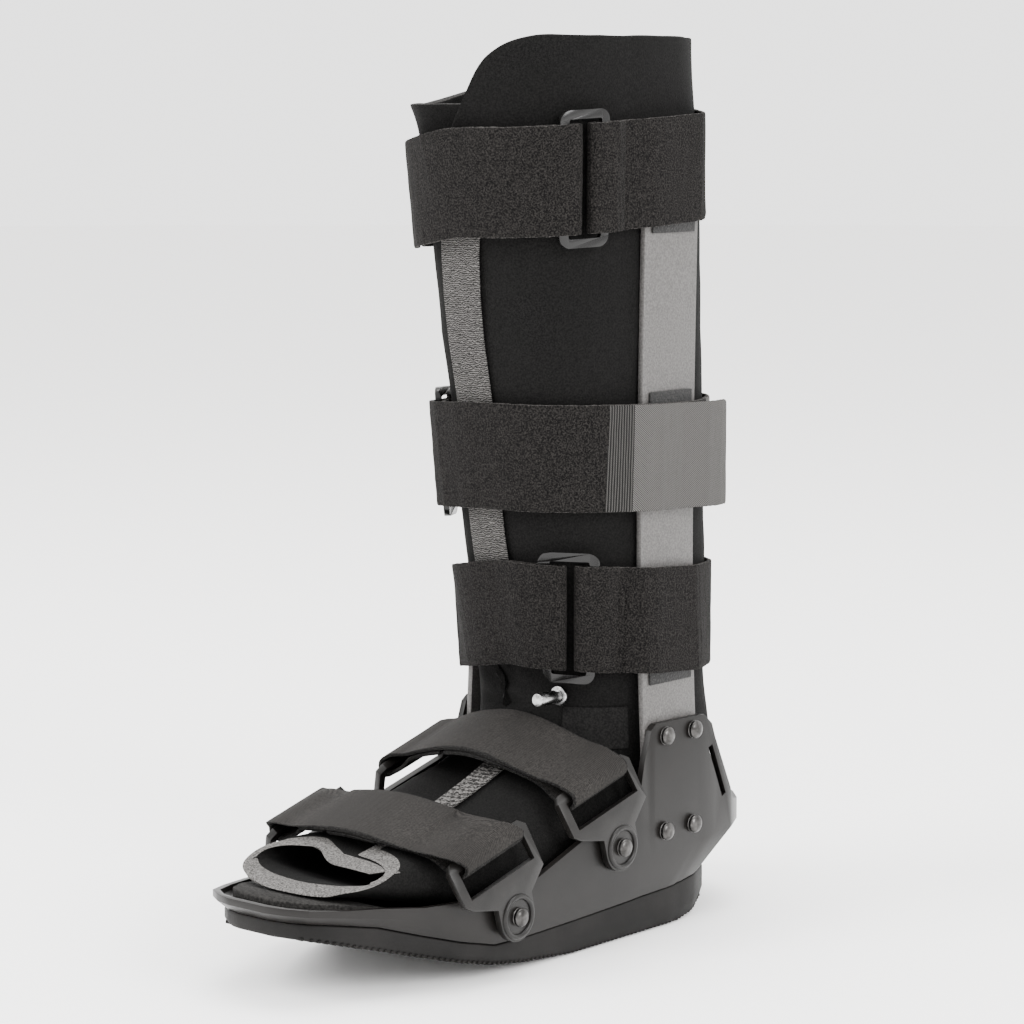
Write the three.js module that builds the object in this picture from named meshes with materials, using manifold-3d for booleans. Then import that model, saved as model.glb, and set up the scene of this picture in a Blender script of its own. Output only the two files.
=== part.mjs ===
// Tall medical walking boot: rocker foot shell, two metal side bars, padded wrap liner and its straps.
// Millimetres, +Z up, toe towards -Y, the wearer's left side towards +X.

import * as THREE from 'three';
import * as BufferGeometryUtils from 'three/addons/utils/BufferGeometryUtils.js';
import Module from 'manifold-3d';

const wasm = await Module();
wasm.setup();

// Clearance between pieces that touch on the real boot
const gap = 0.3;

// Foot base
const baseLength = 292;
const baseHalfWidth = 57.5;
const heelY = 120;
const toeSpring = 29;
const soleThickness = 18;
const treadInset = 2;
const bandHeight = 20;
const plateRise = 58.5;
const shellWall = 3;
const floorThickness = 2.5;
const insoleThickness = 5;

// Side bars and their rivets
const barWidth = 38;
const barThickness = 3;
const barAlong = 0.2705;
const barY = heelY - barAlong * baseLength;
const barBottomZ = 38;
const barTopZ = 362;
const barHollow = 3;
const rivetPitchY = 20.5;
const rivetPitchZ = 44;
const rivetTopZ = 90;
const rivetCentreY = barY + 2;
const rivetRadius = 4.2;
const rivetDome = 2.4;

// Padded liner
const linerWall = 6;
const linerTopZ = 404;
const legRootZ = 97;
const legClearance = 7.7;
const legHalfWidth = baseHalfWidth - legClearance;
const legDepth = 144;
const footClearance = 6.5;
const footHalfWidth = baseHalfWidth - footClearance;
const footHeight = 75;
const legRoundness = 2.5;
const footRoundness = 2.4;
const flapOverlap = 60;
const flapRamp = 28;
const flapCorner = 32;
const farFlapDrop = 30;
const cornerTurn = 46;
const tapeThickness = 1.2;
const tapeAngle = 23;
const tapeInset = 4;

// Leg straps
const strapWidth = 48;
const strapThickness = 2;
const patchThickness = 1.2;
const patchWidth = 30;
const ringWidth = 23;
const ringHeight = 60;
const ringBar = 4;
const ringThickness = 2.6;
const ringCorner = 5;
const ringPlay = 0.8;

// Foot straps and their loops
const webWidth = 38;
const webThickness = 1.8;
const webArch = 1.8;
const loopThickness = 3.2;
const loopTab = 11;
const loopBar = 4.5;
const loopSlot = 12;
const loopNeck = 15;
const loopShift = 4;
const loopLean = 0.72;
const loopTurn = 0.27;

// Air valve
const valveRadius = 3.1;
const valveLength = 14;
const flangeRadius = 4.6;
const flangeThickness = 2;

const colours = {
  rubber: { color: 0x2b2a29, roughness: 0.75, metalness: 0 },
  shellPlastic: { color: 0x2f2e2d, roughness: 0.42, metalness: 0 },
  foam: { color: 0x3c3a39, roughness: 0.95, metalness: 0 },
  linerCloth: { color: 0x131212, roughness: 0.97, metalness: 0 },
  pileTape: { color: 0x4c4a48, roughness: 0.95, metalness: 0 },
  barPaint: { color: 0x6b6764, roughness: 0.6, metalness: 0.3 },
  strapCloth: { color: 0x1b1a1a, roughness: 0.97, metalness: 0 },
  webbing: { color: 0x35322f, roughness: 0.85, metalness: 0 },
  ringPlastic: { color: 0x191818, roughness: 0.4, metalness: 0 },
  rivetMetal: { color: 0x3f3c3a, roughness: 0.35, metalness: 0.8 },
  valveMetal: { color: 0x9a9896, roughness: 0.3, metalness: 0.9 },
};

const boot = new THREE.Group();

function addPiece(name, geometry, finish) {
  const piece = new THREE.Mesh(geometry, new THREE.MeshStandardMaterial(colours[finish]));
  piece.name = name;
  boot.add(piece);
  return piece;
}

function mix(from, to, share) {
  return from + (to - from) * share;
}

function smooth(share) {
  const t = Math.min(1, Math.max(0, share));
  return t * t * (3 - 2 * t);
}

// Value of a table column at a place between its rows, with the rows in rising order of the key
function readTable(rows, key, place, column) {
  let index = rows.findIndex((row) => row[key] >= place);
  if (index < 0) {
    index = rows.length - 1;
  }
  index = Math.max(1, index);
  const [low, high] = [rows[index - 1], rows[index]];
  const share = (place - low[key]) / (high[key] - low[key]);
  return mix(low[column], high[column], Math.min(1, Math.max(0, share)));
}

function indexTriangles(geometry) {
  const index = geometry.index.array;
  const triangles = [];
  for (let i = 0; i < index.length; i += 3) {
    triangles.push([index[i], index[i + 1], index[i + 2]]);
  }
  return triangles;
}

// Closed mesh from welded points and triangles, turned outside out where it came inside out
function closedGeometry(points, triangles) {
  let volume = 0;
  for (const [a, b, c] of triangles) {
    volume += points[a].dot(new THREE.Vector3().crossVectors(points[b], points[c]));
  }
  const geometry = new THREE.BufferGeometry();
  const flat = points.flatMap((p) => [p.x, p.y, p.z]);
  geometry.setAttribute('position', new THREE.Float32BufferAttribute(flat, 3));
  geometry.setIndex(triangles.flatMap(([a, b, c]) => (volume > 0 ? [a, b, c] : [a, c, b])));
  geometry.computeVertexNormals();
  return geometry;
}

// Loft through closed sections of equal length, with caps of the given triangles
function loft(sections, capTriangles) {
  const count = sections[0].length;
  const points = sections.flat();
  const triangles = [];
  for (let s = 0; s + 1 < sections.length; s += 1) {
    for (let i = 0; i < count; i += 1) {
      const j = (i + 1) % count;
      const [a, b, c, d] = [s * count + i, s * count + j, (s + 1) * count + j, (s + 1) * count + i];
      triangles.push([a, c, b], [a, d, c]);
    }
  }
  const last = (sections.length - 1) * count;
  for (const [a, b, c] of capTriangles) {
    triangles.push([a, b, c], [last + a, last + c, last + b]);
  }
  return closedGeometry(points, triangles);
}

// Caps for a section that runs up one side and mirrored down the other
function ladderCap(count) {
  const triangles = [];
  for (let i = 0; i + 1 < count / 2; i += 1) {
    const [a, b, c, d] = [i, i + 1, count - 2 - i, count - 1 - i];
    triangles.push([a, b, d]);
    if (b !== c) {
      triangles.push([b, c, d]);
    }
  }
  return triangles;
}

function toManifold(geometry) {
  const bare = geometry.clone();
  bare.deleteAttribute('normal');
  bare.deleteAttribute('uv');
  const merged = BufferGeometryUtils.mergeVertices(bare, 1e-4);
  return new wasm.Manifold(new wasm.Mesh({
    numProp: 3,
    vertProperties: new Float32Array(merged.attributes.position.array),
    triVerts: new Uint32Array(merged.index.array),
  }));
}

function fromManifold(solid) {
  const mesh = solid.getMesh();
  const geometry = new THREE.BufferGeometry();
  geometry.setAttribute('position', new THREE.Float32BufferAttribute(mesh.vertProperties, 3));
  geometry.setIndex([...mesh.triVerts]);
  geometry.computeVertexNormals();
  return geometry;
}

function mirrored(geometry) {
  const copy = geometry.clone();
  const place = copy.attributes.position;
  for (let i = 0; i < place.count; i += 1) {
    place.setX(i, -place.getX(i));
  }
  const index = copy.index ? [...copy.index.array] : [...Array(place.count).keys()];
  for (let i = 0; i < index.length; i += 3) {
    [index[i + 1], index[i + 2]] = [index[i + 2], index[i + 1]];
  }
  copy.setIndex(index);
  copy.computeVertexNormals();
  return copy;
}

// Stations of the base from heel to toe. along: shares of the base length from the heel for the joint
// line and the ridge above it. side: shares of the half width. tread, sole, band and wall: heights,
// each above the one before, as shares of the toe spring, sole thickness, band height and plate rise.
const stations = [
  [0.062, 0.000, 0.24, 0.28, 0.59, 0.28, 0.95, 0.16],
  [0.079, 0.017, 0.45, 0.50, 0.43, 0.50, 0.95, 0.16],
  [0.110, 0.045, 0.63, 0.70, 0.26, 0.75, 0.95, 0.17],
  [0.144, 0.079, 0.77, 0.87, 0.16, 0.89, 0.97, 0.17],
  [0.185, 0.120, 0.87, 0.98, 0.07, 1.00, 0.97, 0.21],
  [0.200, 0.127, 0.90, 0.99, 0.05, 1.02, 0.95, 0.33],
  [0.240, 0.171, 0.93, 1.00, 0.00, 1.05, 0.97, 0.78],
  [0.250, 0.180, 0.93, 1.00, 0.00, 1.04, 0.97, 0.90],
  [0.260, 0.200, 0.94, 1.00, 0.00, 1.02, 0.97, 0.99],
  [0.280, 0.220, 0.94, 1.00, 0.00, 1.00, 0.97, 1.00],
  [0.342, 0.322, 0.94, 1.00, 0.00, 0.97, 0.87, 1.05],
  [0.352, 0.334, 0.94, 1.00, 0.00, 0.96, 0.86, 1.01],
  [0.370, 0.350, 0.94, 1.00, 0.00, 0.94, 0.85, 0.79],
  [0.385, 0.364, 0.94, 1.00, 0.00, 0.93, 0.85, 0.46],
  [0.503, 0.483, 0.94, 0.99, 0.00, 0.86, 0.72, 0.39],
  [0.620, 0.620, 0.94, 0.98, 0.10, 0.65, 0.57, 0.20],
  [0.685, 0.685, 0.93, 0.97, 0.19, 0.52, 0.49, 0.21],
  [0.747, 0.747, 0.88, 0.92, 0.33, 0.53, 0.45, 0.15],
  [0.815, 0.815, 0.78, 0.83, 0.52, 0.55, 0.32, 0.10],
  [0.880, 0.882, 0.67, 0.72, 0.71, 0.58, 0.22, 0.07],
  [0.935, 0.943, 0.57, 0.62, 0.86, 0.50, 0.20, 0.05],
  [0.975, 0.987, 0.44, 0.50, 0.96, 0.42, 0.20, 0.05],
  [0.994, 1.008, 0.30, 0.34, 1.00, 0.39, 0.20, 0.05],
  [1.000, 1.015, 0.16, 0.18, 1.00, 0.39, 0.20, 0.05],
].map(([alongJoint, alongRidge, sideJoint, sideRidge, tread, sole, band, wall]) => ({
  alongJoint, alongRidge, sideJoint, sideRidge, tread, sole, band, wall,
}));

function baseStation(row) {
  const treadZ = row.tread * toeSpring;
  const jointZ = treadZ + row.sole * soleThickness;
  const ridgeZ = jointZ + row.band * bandHeight;
  return {
    jointX: row.sideJoint * baseHalfWidth,
    jointY: heelY - row.alongJoint * baseLength,
    ridgeX: row.sideRidge * baseHalfWidth,
    ridgeY: heelY - row.alongRidge * baseLength,
    treadZ,
    jointZ,
    ridgeZ,
    wallZ: ridgeZ + row.wall * plateRise,
  };
}

const base = stations.map(baseStation);
const middleY = heelY - baseLength / 2;
const inwardX = 1 - shellWall / baseHalfWidth;
const inwardY = 1 - (2 * shellWall) / baseLength;

function inward(y) {
  return middleY + (y - middleY) * inwardY;
}

// A section of the base: points up the wearer's left side, then mirrored down the other
function mirrorSection(rightPoints) {
  const left = rightPoints.map(([x, y, z]) => new THREE.Vector3(-x, y, z)).reverse();
  return [...rightPoints.map(([x, y, z]) => new THREE.Vector3(x, y, z)), ...left];
}

const outsoleSections = base.map((s) => mirrorSection([
  [s.jointX - treadInset, s.jointY, s.treadZ],
  [s.jointX, s.jointY, mix(s.treadZ, s.jointZ, 0.35)],
  [s.jointX, s.jointY, s.jointZ - gap],
]));
addPiece('outsole', loft(outsoleSections, ladderCap(6)), 'rubber');

const shellOuter = base.map((s) => mirrorSection([
  [s.jointX, s.jointY, s.jointZ],
  [s.ridgeX, s.ridgeY, s.ridgeZ],
  [s.ridgeX, s.ridgeY, s.wallZ],
]));
const shellInner = base.map((s) => mirrorSection([
  [s.jointX * inwardX, inward(s.jointY), s.jointZ + floorThickness],
  [s.ridgeX * inwardX, inward(s.ridgeY), s.ridgeZ + gap],
  [s.ridgeX * inwardX, inward(s.ridgeY), s.wallZ + plateRise],
]));

// Slot along the rear edge of both ankle plates
const slotTop = { along: 0.184, rise: 0.72 };
const slotEnd = { along: 0.146, rise: 0.30 };
const slotWidth = 3.2;

function slotPoint(end) {
  const y = heelY - end.along * baseLength;
  const floor = soleThickness + bandHeight;
  return new THREE.Vector3(0, y, floor + end.rise * plateRise);
}

function slotCutter() {
  const [top, end] = [slotPoint(slotTop), slotPoint(slotEnd)];
  const cutter = new THREE.BoxGeometry(3 * baseHalfWidth, top.distanceTo(end), slotWidth);
  cutter.rotateX(Math.atan2(top.z - end.z, top.y - end.y));
  const centre = top.clone().add(end).multiplyScalar(0.5);
  cutter.translate(0, centre.y, centre.z);
  return toManifold(cutter);
}

const shellSolid = toManifold(loft(shellOuter, ladderCap(6)))
  .subtract(toManifold(loft(shellInner, ladderCap(6))))
  .subtract(slotCutter());
addPiece('shell', fromManifold(shellSolid), 'shellPlastic');

// Foam insole lying on the floor of the shell
const insoleMargin = 1 - (shellWall + 2 * gap) / baseHalfWidth;
const insoleSections = base.map((s) => {
  const x = s.jointX * insoleMargin;
  const y = middleY + (s.jointY - middleY) * (1 - (2 * (shellWall + 2 * gap)) / baseLength);
  const bottom = s.jointZ + floorThickness + gap;
  return mirrorSection([[x, y, bottom], [x, y, bottom + insoleThickness]]);
});
addPiece('insole_pad', loft(insoleSections, ladderCap(4)), 'foam');

const floorRows = base.map((s) => ({
  along: (heelY - s.jointY) / baseLength,
  top: s.jointZ + floorThickness + gap + insoleThickness + gap,
}));

function insoleTopAt(along) {
  return readTable(floorRows, 'along', along, 'top');
}

// Leg of the liner, from the rim down. frontAt and backAt: heights as shares of the leg above its root.
// front and back: reach from the side bars as shares of the leg depth. half: share of the leg's half
// width. edge: angle of the near flap's free edge, where 90 is the middle of the shin.
const legRows = [
  { frontAt: 1.000, backAt: 1.000, front: 0.635, back: 0.350, half: 1.000, edge: 86 },
  { frontAt: 0.870, backAt: 0.890, front: 0.590, back: 0.355, half: 1.000, edge: 92 },
  { frontAt: 0.790, backAt: 0.810, front: 0.569, back: 0.375, half: 1.000, edge: 102 },
  { frontAt: 0.697, backAt: 0.710, front: 0.538, back: 0.403, half: 0.995, edge: 109 },
  { frontAt: 0.557, backAt: 0.557, front: 0.500, back: 0.403, half: 0.980, edge: 110 },
  { frontAt: 0.470, backAt: 0.470, front: 0.446, back: 0.410, half: 0.975, edge: 110 },
  { frontAt: 0.313, backAt: 0.313, front: 0.403, back: 0.424, half: 0.968, edge: 111 },
  { frontAt: 0.238, backAt: 0.238, front: 0.372, back: 0.418, half: 0.970, edge: 111 },
  { frontAt: 0.170, backAt: 0.150, front: 0.340, back: 0.410, half: 0.975, edge: 110 },
  { frontAt: 0.088, backAt: 0.040, front: 0.299, back: 0.405, half: 0.985, edge: 106 },
];

// Foot of the liner. topAlong and soleAlong: shares of the base length from the heel. topRise and
// soleRise: heights above the insole as shares of the foot height. wall: share of the liner's wall.
const footRows = [
  [0.411, 0.058, 1.13, 0.69, 0.975, 102, 1.0],
  [0.415, 0.045, 1.00, 0.42, 0.965, 98, 1.0],
  [0.425, 0.052, 0.90, 0.12, 0.940, 95, 1.0],
  [0.452, 0.130, 0.82, 0.01, 0.940, 92, 1.0],
  [0.505, 0.290, 0.73, 0.01, 0.950, 90, 1.0],
  [0.600, 0.460, 0.63, 0.01, 0.950, 88, 1.0],
  [0.682, 0.600, 0.55, 0.01, 0.920, 85, 1.0],
  [0.742, 0.720, 0.43, 0.01, 0.870, 82, 0.88],
  [0.772, 0.850, 0.385, 0.03, 0.830, 80, 0.80],
  [0.791, 0.942, 0.355, 0.03, 0.780, 78, 0.75],
].map(([topAlong, soleAlong, topRise, soleRise, half, edge, wall]) => ({
  topAlong, soleAlong, topRise, soleRise, half, edge, wall,
}));

const legRise = linerTopZ - legRootZ;

function legRing(row) {
  return {
    front: new THREE.Vector2(barY - row.front * legDepth, legRootZ + row.frontAt * legRise),
    back: new THREE.Vector2(barY + row.back * legDepth, legRootZ + row.backAt * legRise),
    half: row.half * legHalfWidth,
    roundness: legRoundness,
    edge: row.edge,
    wall: linerWall,
  };
}

function footSpot(along, rise) {
  return new THREE.Vector2(heelY - along * baseLength, insoleTopAt(along) + rise * footHeight);
}

function footRing(row) {
  return {
    front: footSpot(row.topAlong, row.topRise),
    back: footSpot(row.soleAlong, row.soleRise),
    half: row.half * footHalfWidth,
    roundness: footRoundness,
    edge: row.edge,
    wall: row.wall * linerWall,
  };
}

const rings = [...legRows.map(legRing), ...footRows.map(footRing)];

// How far a ring's own slant across the boot's path stretches the wall measured along the ring
rings.forEach((ring, index) => {
  const before = rings[Math.max(0, index - 1)];
  const after = rings[Math.min(rings.length - 1, index + 1)];
  const centre = (r) => r.front.clone().add(r.back).multiplyScalar(0.5);
  const path = centre(after).sub(centre(before)).normalize();
  const across = ring.front.clone().sub(ring.back).normalize();
  ring.stretch = 1 / Math.sqrt(Math.max(0.18, 1 - path.dot(across) ** 2));
});

// Point of a ring at an angle, with the given depth below its outer face
function ringPoint(ring, angle, depth) {
  const turn = THREE.MathUtils.degToRad(angle);
  const power = 2 / ring.roundness;
  const side = Math.sign(Math.cos(turn)) * Math.abs(Math.cos(turn)) ** power;
  const lift = Math.sign(Math.sin(turn)) * Math.abs(Math.sin(turn)) ** power;
  const centre = ring.front.clone().add(ring.back).multiplyScalar(0.5);
  const reach = ring.front.clone().sub(centre);
  const length = reach.length();
  const scale = (lift * (length - depth * ring.stretch)) / length;
  return new THREE.Vector3(
    side * (ring.half - depth),
    centre.x + reach.x * scale,
    centre.y + reach.y * scale,
  );
}

// Depth of the wrapped sheet's outer face: the far flap slips under the near one past its edge
function wrapDepth(ring, turned) {
  const past = turned - (360 - flapRamp);
  return (ring.wall + gap) * smooth((past + 4) / flapRamp);
}

const wrapSteps = 50;

// How far the rim drops: a rounded corner at the near flap's edge, and a lower far side
function rimDrop(turned) {
  const away = 1 - Math.min(1, turned / cornerTurn);
  const corner = flapCorner * (1 - Math.sqrt(1 - away * away));
  return corner + farFlapDrop * smooth((turned - 190) / 110);
}

function linerSection(ring, index) {
  const outer = [];
  const inner = [];
  const total = 360 + flapOverlap;
  for (let i = 0; i <= wrapSteps; i += 1) {
    const turned = (total * i) / wrapSteps;
    const depth = wrapDepth(ring, turned);
    const down = new THREE.Vector3(0, 0, index === 0 ? -rimDrop(turned) : 0);
    outer.push(ringPoint(ring, ring.edge - turned, depth).add(down));
    inner.push(ringPoint(ring, ring.edge - turned, depth + ring.wall).add(down));
  }
  return [...outer, ...inner.reverse()];
}

addPiece('liner', loft(rings.map(linerSection), ladderCap(2 * (wrapSteps + 1))), 'linerCloth');

// A thin patch lying on the liner between two rings and two angles from the flap's edge
function linerPatch(firstRing, lastRing, fromEdge, toEdge, thickness, steps) {
  const sections = rings.slice(firstRing, lastRing + 1).map((ring) => {
    const outer = [];
    const inner = [];
    for (let i = 0; i <= steps; i += 1) {
      const angle = ring.edge - mix(fromEdge, toEdge, i / steps);
      outer.push(ringPoint(ring, angle, -2 * gap - thickness));
      inner.push(ringPoint(ring, angle, -2 * gap));
    }
    return [...outer, ...inner.reverse()];
  });
  return loft(sections, ladderCap(2 * (steps + 1)));
}

const legTape = linerPatch(1, 9, tapeInset, tapeAngle, tapeThickness, 8);
addPiece('closure_tape_leg', legTape, 'pileTape');
const footTape = linerPatch(13, 16, tapeInset / 2, tapeAngle * 0.6, tapeThickness, 6);
addPiece('closure_tape_foot', footTape, 'pileTape');

// Side bars: flat strips that hollow slightly towards the leg between their ends
const plateInnerX = baseHalfWidth * inwardX;

function barOuterX(z) {
  const share = (z - (soleThickness + bandHeight + plateRise)) / (barTopZ - barBottomZ);
  const bend = Math.min(1, Math.max(0, share / 0.9)) ** 0.6;
  return plateInnerX - gap - 0.9 * barHollow * Math.sin(Math.PI * bend);
}

function barGeometry() {
  const sections = [];
  const steps = 14;
  for (let i = 0; i <= steps; i += 1) {
    const z = mix(barBottomZ, barTopZ, i / steps);
    const outer = barOuterX(z);
    const [front, back] = [barY - barWidth / 2, barY + barWidth / 2];
    sections.push([
      new THREE.Vector3(outer, front, z),
      new THREE.Vector3(outer, back, z),
      new THREE.Vector3(outer - barThickness, back, z),
      new THREE.Vector3(outer - barThickness, front, z),
    ]);
  }
  return loft(sections, ladderCap(4));
}

const barShape = barGeometry();
addPiece('bar_left', barShape, 'barPaint');
addPiece('bar_right', mirrored(barShape), 'barPaint');

// Domed rivet heads through the ankle plates
function rivetGeometry() {
  const profile = [new THREE.Vector2(0, 0), new THREE.Vector2(rivetRadius, 0)];
  const steps = 2;
  for (let i = 0; i <= steps; i += 1) {
    const turn = (Math.PI / 2) * (i / steps);
    const rise = rivetDome * (0.25 + 0.75 * Math.sin(turn));
    profile.push(new THREE.Vector2(rivetRadius * Math.cos(turn), rise));
  }
  profile[profile.length - 1].x = 0;
  const head = new THREE.LatheGeometry(profile, 12);
  head.rotateZ(-Math.PI / 2);
  head.deleteAttribute('normal');
  head.deleteAttribute('uv');
  return BufferGeometryUtils.mergeVertices(head, 1e-4);
}

const rivetHead = rivetGeometry();

function addRivet(name, x, y, z) {
  const head = rivetHead.clone().translate(x + gap, y, z);
  head.computeVertexNormals();
  addPiece(`${name}_left`, head, 'rivetMetal');
  addPiece(`${name}_right`, mirrored(head), 'rivetMetal');
}

for (const [word, side] of [['front', -1], ['rear', 1]]) {
  const y = rivetCentreY + (side * rivetPitchY) / 2;
  addRivet(`plate_rivet_top_${word}`, baseHalfWidth, y, rivetTopZ);
  addRivet(`plate_rivet_low_${word}`, baseHalfWidth, y, rivetTopZ - rivetPitchZ);
}

// Leg straps run round the leg outside the bars, through a ring and back over themselves
function profileAt(edge, z) {
  const rows = rings.slice(0, legRows.length).reverse();
  if (edge === 'edge') {
    return readTable(rows.map((ring) => ({ z: ring.front.y, turn: ring.edge })), 'z', z, 'turn');
  }
  return readTable(rows.map((ring) => ({ z: ring[edge].y, y: ring[edge].x })), 'z', z, 'y');
}

// How far forward the liner reaches at one side and height
function linerFrontY(x, z) {
  const spots = rings.map((ring) => {
    const turn = Math.acos((x / ring.half) ** (ring.roundness / 2));
    return ringPoint(ring, THREE.MathUtils.radToDeg(turn), 0);
  });
  return readTable(spots.reverse(), 'z', z, 'y');
}

// Outer corners of a set of plan points, going round once
function hull(points) {
  const sorted = [...points].sort((p, q) => p.x - q.x || p.y - q.y);
  const chain = (list) => {
    const kept = [];
    for (const p of list) {
      while (kept.length > 1) {
        const [o, a] = kept.slice(-2);
        if ((a.x - o.x) * (p.y - o.y) - (a.y - o.y) * (p.x - o.x) > 0) {
          break;
        }
        kept.pop();
      }
      kept.push(p);
    }
    return kept.slice(0, -1);
  };
  return [...chain(sorted), ...chain(sorted.reverse())];
}

// Plan curve of a taut strap at one height, as points at even turns round the bars' middle: it lies on
// the liner, on the closure strip and on both bars with their hook patches
function wrapCurve(z) {
  const [front, back] = [profileAt('front', z), profileAt('back', z)];
  const centre = (front + back) / 2;
  const edge = profileAt('edge', z);
  const barSide = Math.max(barOuterX(z), barOuterX(z - strapWidth), barOuterX(z + strapWidth));
  const touched = [];
  for (let angle = 0; angle < 360; angle += 5) {
    const turn = THREE.MathUtils.degToRad(angle);
    const power = 2 / legRoundness;
    const onTape = angle > edge - 2 * tapeAngle && angle < edge + tapeAngle / 2;
    const lift = onTape ? tapeThickness + 5 * gap : 2 * gap;
    touched.push(new THREE.Vector2(
      (legHalfWidth + lift) * Math.sign(Math.cos(turn)) * Math.abs(Math.cos(turn)) ** power,
      centre - ((back - front) / 2 + lift) * Math.sign(Math.sin(turn)) * Math.abs(Math.sin(turn)) ** power,
    ));
  }
  const patchSide = barSide + patchThickness + 3 * gap;
  for (const side of [-1, 1]) {
    for (const end of [-0.5, 0.5]) {
      touched.push(new THREE.Vector2(side * patchSide, barY + end * patchWidth));
      touched.push(new THREE.Vector2(side * (barSide + 2 * gap), barY + end * barWidth));
    }
  }
  const corners = hull(touched);
  const points = [];
  for (let i = 0; i <= curveSamples; i += 1) {
    const turn = (-2 * Math.PI * i) / curveSamples;
    const ray = new THREE.Vector2(Math.cos(turn), Math.sin(turn));
    let reach = Infinity;
    corners.forEach((p, k) => {
      const q = corners[(k + 1) % corners.length];
      const normal = new THREE.Vector2(q.y - p.y, p.x - q.x);
      const facing = normal.dot(ray);
      if (facing > 0) {
        reach = Math.min(reach, normal.dot(new THREE.Vector2(p.x, p.y - barY)) / facing);
      }
    });
    points.push(new THREE.Vector2(ray.x * reach, barY + ray.y * reach));
  }
  return points;
}

// Plan curves of a strap at its lower edge, its middle and its upper edge, with lengths along the middle
function strapCurves(strap) {
  const [low, middle, high] = [-0.5, 0, 0.5].map((share) => wrapCurve(strap.z + share * strapWidth));
  const lengths = [0];
  for (let i = 1; i <= curveSamples; i += 1) {
    lengths.push(lengths[i - 1] + middle[i].distanceTo(middle[i - 1]));
  }
  return { low, high, lengths, around: lengths[curveSamples] };
}

// Point of a strap: so far along its middle, out from the leg, and up from its middle line
function strapPoint(strap, curves, along, out, up) {
  const share = (along * strap.way) / curves.around + strap.ringAt;
  const target = (share - Math.floor(share)) * curves.around;
  let index = 1;
  while (curves.lengths[index] < target) {
    index += 1;
  }
  const span = curves.lengths[index] - curves.lengths[index - 1];
  const part = (target - curves.lengths[index - 1]) / span;
  const onCurve = (points) => {
    const place = points[index - 1].clone().lerp(points[index], part);
    const before = points[(index - 2 + curveSamples) % curveSamples];
    const after = points[(index + 1) % curveSamples];
    const way = after.clone().sub(before).normalize();
    return place.add(new THREE.Vector2(-way.y, way.x).multiplyScalar(out));
  };
  const spot = onCurve(curves.low).lerp(onCurve(curves.high), up / strapWidth + 0.5);
  const sag = strap.sag * Math.max(0, -spot.x / legHalfWidth);
  return new THREE.Vector3(spot.x, spot.y, strap.z + up + strap.tilt * (spot.y - barY) - sag);
}

// Bends a flat piece, with x round the leg, y outwards and z up, onto the leg at a strap's height
function wrapOnLeg(flat, strap) {
  const curves = strapCurves(strap);
  const place = flat.attributes.position;
  const points = [];
  for (let i = 0; i < place.count; i += 1) {
    points.push(strapPoint(strap, curves, place.getX(i), place.getY(i), place.getZ(i)));
  }
  return closedGeometry(points, indexTriangles(flat));
}

// Flat band from a path of places round the leg and outwards, as wide as the strap and extruded upwards
function bandGeometry(path, thickness, width) {
  const left = [];
  const right = [];
  path.forEach((point, i) => {
    const before = path[Math.max(0, i - 1)];
    const after = path[Math.min(path.length - 1, i + 1)];
    const along = after.clone().sub(before).normalize();
    const across = new THREE.Vector2(-along.y, along.x).multiplyScalar(thickness / 2);
    left.push(point.clone().add(across));
    right.push(point.clone().sub(across));
  });
  const outline = [...left, ...right.reverse()];
  const sections = [-width / 2, width / 2].map((z) => outline.map((p) => new THREE.Vector3(p.x, p.y, z)));
  return loft(sections, ladderCap(outline.length));
}

function halfTurn(centre, radius, fromAngle, toAngle, steps) {
  const points = [];
  for (let i = 0; i <= steps; i += 1) {
    const turn = THREE.MathUtils.degToRad(mix(fromAngle, toAngle, i / steps));
    points.push(new THREE.Vector2(centre.x + radius * Math.cos(turn), centre.y + radius * Math.sin(turn)));
  }
  return points;
}

const layerLow = strapThickness / 2;
const ringMid = strapThickness + ringPlay + ringThickness / 2;
const layerHigh = ringMid + ringThickness / 2 + ringPlay + strapThickness / 2;
const foldRadius = (layerHigh - layerLow) / 2;
const layerRest = strapThickness * 1.5 + gap;
const ringReach = ringWidth / 2 - ringBar / 2;
const settle = 22;
const curveSamples = 150;

function strapPath(strap) {
  const { around } = strapCurves(strap);
  const tabFold = new THREE.Vector2(-ringReach + ringBar, (layerHigh + layerLow) / 2);
  const longFold = new THREE.Vector2(ringReach - ringBar, tabFold.y);
  const tab = [];
  for (let s = strap.tabLength; s > 0; s -= 3) {
    const lift = mix(layerHigh, layerRest, smooth((s - 2 * ringBar) / (2 * ringBar)));
    tab.push(new THREE.Vector2(tabFold.x - s, lift));
  }
  const round = halfTurn(tabFold, foldRadius, 90, -90, 6);
  const body = [];
  const bodyLength = around - (longFold.x - tabFold.x) - 0.5;
  const bodySteps = 60;
  for (let i = 1; i < bodySteps; i += 1) {
    body.push(new THREE.Vector2(tabFold.x - (bodyLength * i) / bodySteps, layerLow));
  }
  const back = halfTurn(new THREE.Vector2(longFold.x - around, longFold.y), foldRadius, -90, -270, 6);
  const over = [];
  const overLength = strap.overShare * around;
  const overSteps = Math.round(overLength / 7);
  for (let i = 1; i <= overSteps; i += 1) {
    const s = (overLength * i) / overSteps;
    const flare = strap.flare * smooth((s - overLength + strap.flareLength) / strap.flareLength);
    const lift = mix(layerHigh, layerRest, smooth((s - 2 * ringBar) / settle)) + flare;
    over.push(new THREE.Vector2(longFold.x - around + s, lift));
  }
  return [...tab, ...round, ...body, ...back, ...over];
}

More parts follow.
